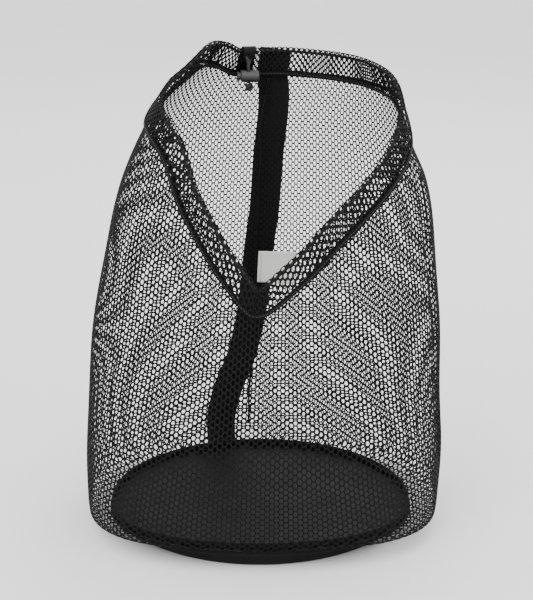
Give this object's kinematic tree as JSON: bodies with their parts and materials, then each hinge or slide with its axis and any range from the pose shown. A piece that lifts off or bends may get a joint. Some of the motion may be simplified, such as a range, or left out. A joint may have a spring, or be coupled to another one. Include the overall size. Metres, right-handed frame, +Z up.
{
  "type": "mesh drawstring bag",
  "caption": "Upright net bag with a solid cloth base, a drawstring hem that droops at the front, a cord lock and one webbing shoulder strap up the back.",
  "frame": {"origin": "centre of the base's underside, on the surface that the bag stands on", "axes": "+Z up, +Y towards the back of the bag, where the strap hangs, +X to the right of someone who faces the drooping front"},
  "size_m": [0.3417, 0.3121, 0.4489],
  "materials": {
    "net": "matt knitted polyester net",
    "base_cloth": "coated woven nylon with a slight sheen",
    "webbing": "matt woven polypropylene webbing",
    "cord": "braided polyester cord",
    "lock_plastic": "moulded, fine texture",
    "spring_steel": "bright wire",
    "label_cloth": "white satin label, blank"
  },
  "bodies": {
    "bag": {"net_wall": "net", "drawstring_hem": "net", "base_panel": "base_cloth", "base_seam_binding": "base_cloth", "back_seam_binding": "base_cloth", "exit_patch": "base_cloth", "drawstring": "cord", "drawstring_tail_left": "cord", "drawstring_tail_right": "cord", "drawstring_knot": "cord", "strap_top_end": "webbing", "strap_bottom_end": "webbing"},
    "strap": {"shoulder_strap": "webbing"},
    "label": {"care_label": "label_cloth"},
    "lock": {"cord_lock_barrel": "lock_plastic", "cord_lock_spring": "spring_steel"},
    "lock_button": {"cord_lock_button": "lock_plastic"}
  },
  "joints": [
    {"name": "strap_swing", "type": "hinge", "parent": "bag", "child": "strap", "pos_m": [-0.0382, 0.1464, 0.0012], "axis": [-0.1215, 0.1151, -0.9859], "range_deg": [-10, 15]},
    {"name": "label_flap", "type": "hinge", "parent": "bag", "child": "label", "pos_m": [-0.0024, 0.1046, 0.2121], "axis": [-0.0473, 0.1198, -0.9917], "range_deg": [0, 150]},
    {"name": "cord_lock_slide", "type": "slide", "parent": "bag", "child": "lock", "axis": [0, 0, 1], "range_m": [-0.001, 0.003]},
    {"name": "cord_lock_press", "type": "slide", "parent": "lock", "child": "lock_button", "axis": [1, 0, 0], "range_m": [0, 0.0032], "stiffness_N_per_m": 1200}
  ]
}
